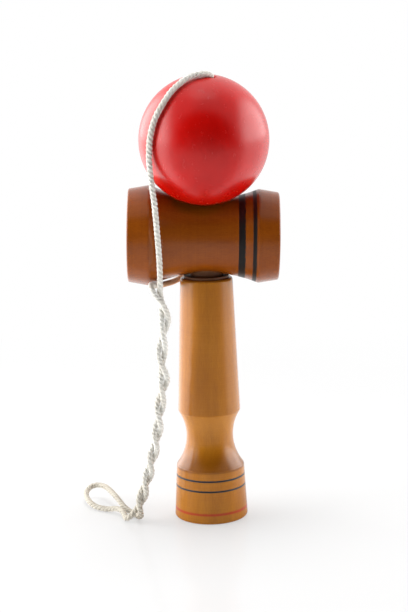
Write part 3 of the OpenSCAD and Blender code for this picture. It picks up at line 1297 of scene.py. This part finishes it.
@dataclass
class Studio:
    """A white floor and surround, with soft lamps. Places on the floor are in millimetres."""

    lamps: tuple[SoftBox, ...] = (
        SoftBox("left_panel", (-0.82, 0.02, 0.24), wide=0.9, tall=0.6, power=12.4),
        SoftBox("right_panel", (0.82, 0.0, 0.22), wide=0.55, tall=0.5, power=4.7),
        SoftBox("top_panel", (0.0, 0.04, 1.0), wide=0.45, tall=0.35, power=6.8),
        SoftBox("front_fill", (-0.25, -1.1, 0.22), wide=0.8, tall=0.8, power=0.35),
    )
    glows: tuple[SoftGlow, ...] = (
        SoftGlow(azimuth=-110.0, elevation=2.0, inner=30.0, outer=56.0, level=4.2, floor_level=2.4),
        SoftGlow(azimuth=106.0, elevation=6.0, inner=20.0, outer=46.0, level=4.0, floor_level=1.6),
    )
    glow_reach: Span = (0.0, 240.0)
    floor_half: float = 4000.0
    floor_drop: float = 0.05
    floor_white: float = 0.95
    floor_in_gloss: float = 0.23
    floor_shade: float = 0.26
    floor_glow: float = 0.53
    floor_shine: float = 0.05
    floor_shine_rough: float = 0.12
    shadow_reach: Span = (150.0, 420.0)
    sweep_level: float = 1.4
    sweep_in_gloss: float = 1.2
    sweep_starts: Span = (-55.0, 130.0)
    sweep_fades: Span = (350.0, 700.0)
    front_reach: Span = (-1000.0, -600.0)
    front_level: float = 0.015
    side_level: float = 0.4
    side_in_gloss: float = 0.55
    back_level: float = 1.8
    back_in_gloss: float = 1.0
    front_to_side: Span = (-0.66, -0.4)
    side_to_back: Span = (0.1, 0.5)

    def build(self) -> None:
        """Builds the floor, the surround and the lamps."""
        made = bmesh.new()
        bmesh.ops.create_grid(made, x_segments=1, y_segments=1, size=self.floor_half * MM)
        bmesh.ops.translate(made, verts=made.verts, vec=(0.0, 0.0, -self.floor_drop * MM))
        floor = mesh_object("floor", made)
        floor.data.materials.append(self.floor_material())
        self.build_surround()
        for lamp in self.lamps:
            lamp.build()

    @staticmethod
    def rays(graph: Graph) -> tuple[Wire, Wire]:
        """Tells the kinds of rays apart.

        Args:
            graph: Graph of the surround or the floor.

        Returns:
            Whether a ray is the camera's, and whether it shows the surround in gloss or glass.
        """
        path = graph.node("ShaderNodeLightPath").socket.node.outputs
        kinds = ("Camera", "Glossy", "Transmission")
        camera, gloss, glass = (Wire(graph, path[f"Is {kind} Ray"]) for kind in kinds)
        return camera, gloss.larger(glass)

    def floor_material(self) -> bpy.types.Material:
        """Builds a floor that looks white, and keeps the toy's shadow and a faint reflection.

        Returns:
            The material.
        """
        graph, material = Graph.of_material("white_floor")
        camera, gloss = self.rays(graph)
        place = graph.place()
        away = graph.vectors("LENGTH", place, output="Value")
        unseen = self.unseen_floor(graph, place, away, gloss)
        shadowed = graph.node("ShaderNodeBsdfDiffuse", None, {"Color": grey(self.floor_shade)})
        lit = graph.node("ShaderNodeAddShader", None, {0: shadowed, 1: graph.glow(self.floor_glow)})
        polish = {"Color": grey(1.0), "Roughness": self.floor_shine_rough}
        shine = graph.node("ShaderNodeBsdfGlossy", None, polish)
        shiny = graph.mix_shader(self.floor_shine, lit, shine)
        bright = graph.mix_shader(away.ramp(*self.shadow_reach), shiny, graph.glow(1.0))
        graph.surface(graph.mix_shader(camera, unseen, bright))
        return material

    def unseen_floor(self, graph: Graph, place: Wire, away: Wire, gloss: Wire) -> Wire:
        """Builds the floor as the toy sees it: white near it, bright behind it, with the lamps' glows.

        Args:
            graph: Graph of the floor's material.
            place: Coordinates in millimetres.
            away: Distance from the toy.
            gloss: Whether a ray shows the floor in gloss.

        Returns:
            The shader.
        """
        _, behind, _ = graph.parts(place)
        near = behind.ramp(*self.front_reach)
        mirrored = graph.mix(near, grey(self.front_level), grey(self.floor_in_gloss))
        bounced = graph.mix(gloss, grey(self.floor_white), mirrored)
        floor = graph.node("ShaderNodeBsdfDiffuse", None, {"Color": bounced})
        fades = behind.ramp(*self.sweep_fades)
        clear = graph.mix_shader(fades, graph.glow(self.sweep_in_gloss), graph.glow(self.back_in_gloss))
        sweep = graph.mix_shader(gloss, graph.glow(self.sweep_level), clear)
        floor = graph.mix_shader(behind.ramp(*self.sweep_starts), floor, sweep)
        outward = graph.vectors("NORMALIZE", place)
        reach = away.ramp(*self.glow_reach) * gloss
        for glow in self.glows:
            share = glow.share(graph, outward) * reach
            floor = graph.mix_shader(share, floor, graph.glow(glow.floor_level))
        return floor

    def build_surround(self) -> None:
        """Builds a surround that looks white, is dark behind the camera, and lights the toy softly."""
        world = bpy.data.worlds.new("surround")
        world.use_nodes = True
        bpy.context.scene.world = world
        graph = Graph(world.node_tree)
        camera, gloss = self.rays(graph)
        direction = graph.node("ShaderNodeTexCoord", output="Generated")
        _, toward, _ = graph.parts(direction)
        side = gloss * (self.side_in_gloss - self.side_level) + self.side_level
        back = gloss * (self.back_in_gloss - self.back_level) + self.back_level
        level = toward.ramp(*self.front_to_side) * (side - self.front_level) + self.front_level
        level = level + toward.ramp(*self.side_to_back) * (back - side)
        for glow in self.glows:
            level = level.larger(glow.share(graph, direction) * gloss * glow.level)
        strength = camera + (1 - camera) * level
        light = graph.node("ShaderNodeBackground", None, {"Color": grey(1.0), "Strength": strength})
        graph.node("ShaderNodeOutputWorld", None, {"Surface": light})


@dataclass
class ToyCamera:
    """The camera at the photograph's place, in millimetres, degrees and pixels."""

    place: Triple = (-1.39, -750.0, 253.9)
    pitch: float = 11.397
    roll: float = 1.3
    focal_px: float = 1617.9
    long_side_px: float = 612.0
    sensor: float = 36.0
    clip: Span = (10.0, 50000.0)

    def build(self) -> None:
        """Puts the camera into the scene."""
        data = bpy.data.cameras.new("camera")
        data.sensor_width = self.sensor
        data.lens = self.focal_px * self.sensor / self.long_side_px
        data.clip_start, data.clip_end = (end * MM for end in self.clip)
        pitch, roll = math.radians(self.pitch), math.radians(self.roll)
        right = Vector((1.0, 0.0, 0.0))
        up = Vector((0.0, math.sin(pitch), math.cos(pitch)))
        back = right.cross(up)
        turned_right = right * math.cos(roll) - up * math.sin(roll)
        turned_up = up * math.cos(roll) + right * math.sin(roll)
        axes = Matrix((turned_right, turned_up, back)).transposed().to_4x4()
        camera = bpy.data.objects.new("camera", data)
        camera.matrix_world = Matrix.Translation(Vector(self.place) * MM) @ axes
        bpy.context.scene.collection.objects.link(camera)
        bpy.context.scene.camera = camera


def main() -> None:
    """Builds the camera, the string, the finishes and the studio, in this order."""
    logging.basicConfig(level=logging.INFO, format="%(message)s")
    bpy.context.scene.view_settings.view_transform = "Standard"
    ToyCamera().build()
    ToyString().build()
    for part in (Handle(), CrossPiece(), Ball(), Bead()):
        part.dress()
    Studio().build()


if __name__ == "__main__":
    main()
